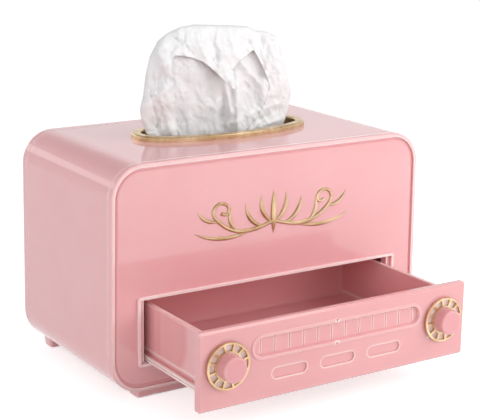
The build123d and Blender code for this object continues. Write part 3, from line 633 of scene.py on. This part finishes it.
def makeTissuePile():
    low, high = (Vector(corner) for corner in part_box("tissue_pack"))
    size = high - low
    layer = size.z / tissuePile["layers"]
    clearSelection()
    bpy.ops.mesh.primitive_cube_add(size=1, location=(0, 0, 0))
    slab = bpy.context.object
    slab.scale = (size.x - 1.2 * mm, size.y - 1.2 * mm, layer * 0.985)
    bpy.ops.object.transform_apply(location=True, rotation=True, scale=True)
    selectEdges(slab, lambda first, second: abs(first.z - second.z) > layer / 2)
    bpy.ops.mesh.bevel(offset=tissuePile["corner"] * mm, segments=6, affect="EDGES")
    bpy.ops.object.mode_set(mode="OBJECT")
    selectEdges(slab, lambda first, second: abs(first.z - second.z) < 1e-6)
    bpy.ops.mesh.bevel(offset=layer * 0.42, segments=3, affect="EDGES")
    bpy.ops.object.mode_set(mode="OBJECT")
    spread = random.Random(7)
    copies = []
    for index in range(tissuePile["layers"]):
        shift = Vector((spread.uniform(-1, 0), spread.uniform(-1, 1), 0)) * tissuePile["wander"] * mm
        centre = (low + high) / 2 + shift
        centre.z = low.z + (index + 0.5) * layer
        copy = bpy.data.objects.new("foldedTissue", slab.data.copy())
        bpy.context.scene.collection.objects.link(copy)
        copy.location = centre
        copies.append(copy)
    bpy.data.objects.remove(slab)
    clearSelection()
    for slab in copies:
        slab.select_set(True)
    bpy.context.view_layer.objects.active = copies[0]
    bpy.ops.object.join()
    pile = bpy.context.object
    pile.name = "foldedTissues"
    bpy.ops.object.transform_apply(location=True, rotation=True, scale=True)
    bpy.ops.object.shade_smooth()
    pile.data.materials.append(paperWhite)
    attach(pile, "housing")
    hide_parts("tissue_pack")
    return pile


makeTissuePile()
print("tissues folded")

# The bar foot at the back reaches further out than its solid, under the shell's rounded corners.
rearFoot = {
    "reach": 103.5,
    "top": 5.65,
    "rises": [(94.0, 0.0), (99.0, 0.6), (103.5, 2.2)],     # how the ends follow the shell's corner
    "taper": 0.8,
    "corner": 1.5,
    "edge": 0.5,
}


def selectPoints(piece, wanted):
    # leaves exactly the points for which wanted(place) holds selected, in edit mode
    bpy.ops.object.mode_set(mode="EDIT")
    bpy.ops.mesh.select_mode(type="VERT")
    bpy.ops.mesh.select_all(action="DESELECT")
    bpy.ops.object.mode_set(mode="OBJECT")
    for vertex in piece.data.vertices:
        vertex.select = wanted(vertex.co)
    bpy.ops.object.mode_set(mode="EDIT")


def makeRearFoot():
    low, high = (Vector(corner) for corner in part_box("foot_rear"))
    middle, depth = (low.y + high.y) / 2, high.y - low.y
    reach, top = rearFoot["reach"] * mm, rearFoot["top"] * mm
    clearSelection()
    bpy.ops.mesh.primitive_cube_add(size=1, location=(0, middle, (low.z + top) / 2))
    piece = bpy.context.object
    piece.name = "rearBarFoot"
    piece.scale = (2 * reach, depth, top - low.z)
    bpy.ops.object.transform_apply(location=True, rotation=True, scale=True)
    bpy.ops.object.mode_set(mode="EDIT")
    for across, rise in rearFoot["rises"][:-1]:
        for side in (-1, 1):
            bpy.ops.mesh.select_all(action="SELECT")
            bpy.ops.mesh.bisect(plane_co=(side * across * mm, 0, 0), plane_no=(1, 0, 0))
    bpy.ops.object.mode_set(mode="OBJECT")
    for across, rise in rearFoot["rises"][1:]:
        selectPoints(piece, lambda place: abs(abs(place.x) - across * mm) < 0.1 * mm and place.z > top - 0.1 * mm)
        bpy.ops.transform.translate(value=(0, 0, rise * mm))
        bpy.ops.object.mode_set(mode="OBJECT")
    selectPoints(piece, lambda place: place.z < low.z + 0.1 * mm)
    taper = rearFoot["taper"] * mm
    bpy.ops.transform.resize(value=(1 - taper / reach, 1 - 2 * taper / depth, 1), center_override=(0, middle, low.z))
    bpy.ops.object.mode_set(mode="OBJECT")
    selectEdges(piece, lambda first, second: min(abs(first.x), abs(second.x)) > reach - 1.5 * mm
                and abs(first.z - second.z) > 1.5 * mm)
    bpy.ops.mesh.bevel(offset=rearFoot["corner"] * mm, segments=4, affect="EDGES")
    bpy.ops.object.mode_set(mode="OBJECT")
    selectEdges(piece, lambda first, second: max(first.z, second.z) < low.z + 0.1 * mm
                and not (abs(first.x - second.x) < 0.1 * mm and abs(first.x) < 100 * mm))
    bpy.ops.mesh.bevel(offset=rearFoot["edge"] * mm, segments=2, affect="EDGES")
    bpy.ops.object.mode_set(mode="OBJECT")
    bpy.ops.object.shade_smooth_by_angle(angle=math.radians(30))
    piece.data.materials.append(casePink)
    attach(piece, "housing")
    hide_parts("foot_rear")
    return piece


makeRearFoot()
print("rear foot made")

# The raised scroll on the front is cast in one: every stroke is a swelling line.
scroll = {
    "middle": (0, -61.75, 106.0),
    "flatness": 0.9,
    "sunk": 0.4,
    # strokes of the right half: x and z from the middle, and half the thickness there
    "strokes": [
        [(0, -5, 1.1), (8, -7.8, 1.3), (20, -10.2, 1.4), (32, -7.6, 1.3), (40.5, -1.5, 1.2), (45.6, 4.0, 1.1),
         (43.0, 10.4, 1.1), (36.0, 11.0, 1.0), (31.8, 6.0, 0.9), (35.2, 1.6, 0.9), (38.6, 4.2, 1.3)],
        [(17, -9.2, 0.2), (29, -13.0, 1.9), (46, -13.4, 1.5), (58, -6, 0.1)],
        [(26, -8.6, 0.3), (31.6, -6.0, 1.9), (34.4, 0.4, 1.5), (31.5, 7.2, 0.1)],
        [(8, -7.5, 0.4), (15.6, -6.0, 2.0), (20.6, 0.0, 1.7), (21, 8.7, 0.1)],
        [(2, -5, 0.6), (7.6, -2.0, 2.1), (10.8, 5.0, 1.7), (9, 12.7, 0.1)],
        [(41, -0.8, 0.4), (48.6, -1.0, 1.7), (53.6, 2.6, 1.3), (56, 8.2, 0.1)],
    ],
    "crown": [(0, -13.2, 0.1), (0, -6, 2.3), (0, 4, 3.0), (0, 14.8, 0.1)],
}


def drawStroke(points, side):
    # one tapering line of the scroll
    x, y, z = scroll["middle"]
    curve = bpy.data.curves.new("stroke", "CURVE")
    curve.dimensions = "3D"
    line = curve.splines.new("NURBS")
    line.points.add(len(points) - 1)
    for point, (across, up, thick) in zip(line.points, points):
        point.co = ((x + side * across) * mm, y * mm, (z + up) * mm, 1.0)
        point.radius = thick
    line.order_u = min(4, len(points))
    line.use_endpoint_u = True
    line.resolution_u = 8
    curve.bevel_depth = 1.0 * mm
    curve.bevel_resolution = 3
    curve.use_fill_caps = True
    stroke = bpy.data.objects.new("stroke", curve)
    bpy.context.scene.collection.objects.link(stroke)
    return stroke


def makeScroll():
    strokes = [drawStroke(scroll["crown"], 1)]
    for side in (-1, 1):
        strokes += [drawStroke(points, side) for points in scroll["strokes"]]
    clearSelection()
    for stroke in strokes:
        stroke.select_set(True)
    bpy.context.view_layer.objects.active = strokes[0]
    bpy.ops.object.convert(target="MESH")
    bpy.ops.object.join()
    piece = bpy.context.object
    piece.name = "goldScroll"
    face = scroll["middle"][1] * mm
    for vertex in piece.data.vertices:
        vertex.co.y = min(face + (vertex.co.y - face) * scroll["flatness"], face + scroll["sunk"] * mm)
    bpy.ops.object.shade_smooth()
    piece.data.materials.clear()
    piece.data.materials.append(ornamentGold)
    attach(piece, "housing")
    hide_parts("front_ornament")
    return piece


makeScroll()
print("scroll cast")

studio = {
    "floorSize": 12.0,
    "floorColour": paint(226, 226, 226),
    "floorGlow": 0.62,      # seen by the camera and in reflections only
    "worldLevel": 0.5,
    "ceilingLevel": 0.45,    # what a reflection shows high up
    "ceilingHeight": (0.36, 0.5),
    "mirrored": ("edgeLamp", "backStrip"),     # lamps that the polish shows
}
lamps = {
    "rightLamp": {"place": (0.45, -0.54, 0.32), "size": (0.4, 0.4), "power": 2.3},
    "leftLamp": {"place": (-1.2, -0.25, 0.45), "size": (1.2, 1.2), "power": 4.1},
    "keyLamp": {"place": (-0.6, -1.4, 0.6), "size": (1.5, 1.2), "power": 4.5},
    "edgeLamp": {"place": (0.6, -0.33, 1.1), "size": (0.6, 0.4), "power": 2.0},
    "backStrip": {"place": (-0.62, 1.05, 0.43), "size": (1.3, 0.2), "power": 0.75},
}
aim = Vector((0, -0.02, 0.09))


def seenDirectly(shader):
    # 1 for rays from the camera, reflections and glass, 0 for light on the object
    path = shader.add("ShaderNodeLightPath")
    seen = shader.maths("MAXIMUM", path.outputs["Is Camera Ray"], path.outputs["Is Glossy Ray"])
    return shader.maths("MAXIMUM", seen, path.outputs["Is Transmission Ray"])


def makeFloor():
    clearSelection()
    bpy.ops.mesh.primitive_plane_add(size=studio["floorSize"], location=(0, 0, 0))
    floor = bpy.context.object
    floor.name = "studioFloor"
    material = bpy.data.materials.new("paleFloor")
    material.use_nodes = True
    shader = Shader(material.node_tree)
    surface = material.node_tree.nodes["Principled BSDF"]
    surface.inputs["Base Color"].default_value = studio["floorColour"]
    surface.inputs["Roughness"].default_value = 0.9
    surface.inputs["Specular IOR Level"].default_value = 0.1
    glow = shader.add("ShaderNodeEmission")
    shader.join(shader.maths("MULTIPLY", seenDirectly(shader), studio["floorGlow"]), glow.inputs["Strength"])
    both = shader.add("ShaderNodeAddShader")
    shader.join(surface.outputs["BSDF"], both.inputs[0])
    shader.join(glow.outputs["Emission"], both.inputs[1])
    shader.join(both.outputs["Shader"], material.node_tree.nodes["Material Output"].inputs["Surface"])
    floor.data.materials.append(material)


def makeWorld():
    world = bpy.data.worlds.new("studioWorld")
    world.use_nodes = True
    shader = Shader(world.node_tree)
    lit = world.node_tree.nodes["Background"]
    lit.inputs["Strength"].default_value = studio["worldLevel"]
    lit.inputs["Color"].default_value = (1, 1, 1, 1)
    seen = shader.add("ShaderNodeBackground", Strength=1.0)
    # the ceiling is darker than the walls, which the polished corners show
    height = shader.add("ShaderNodeSeparateXYZ")
    shader.join(shader.add("ShaderNodeTexCoord").outputs["Generated"], height.inputs["Vector"])
    low, high = studio["ceilingHeight"]
    level = shader.ramp(height.outputs["Z"], low, high, 1.0, studio["ceilingLevel"])
    direct = shader.add("ShaderNodeLightPath").outputs["Is Camera Ray"]
    shader.join(shader.maths("MAXIMUM", level, direct), seen.inputs["Strength"])
    seen.inputs["Color"].default_value = (1, 1, 1, 1)
    mix = shader.add("ShaderNodeMixShader")
    shader.join(seenDirectly(shader), mix.inputs["Fac"])
    shader.join(lit.outputs["Background"], mix.inputs[1])
    shader.join(seen.outputs["Background"], mix.inputs[2])
    shader.join(mix.outputs["Shader"], world.node_tree.nodes["World Output"].inputs["Surface"])
    bpy.context.scene.world = world


def makeLamps():
    for name, lamp in lamps.items():
        bpy.ops.object.light_add(type="AREA", location=lamp["place"])
        light = bpy.context.object
        light.name = name
        light.data.shape = "RECTANGLE"
        light.data.size, light.data.size_y = lamp["size"]
        light.data.energy = lamp["power"]
        light.visible_glossy = name in studio["mirrored"]
        light.rotation_euler = (Vector(lamp["place"]) - aim).to_track_quat("Z", "Y").to_euler()


makeFloor()
makeWorld()
makeLamps()
bpy.context.scene.view_settings.view_transform = "Standard"
print("studio lit")
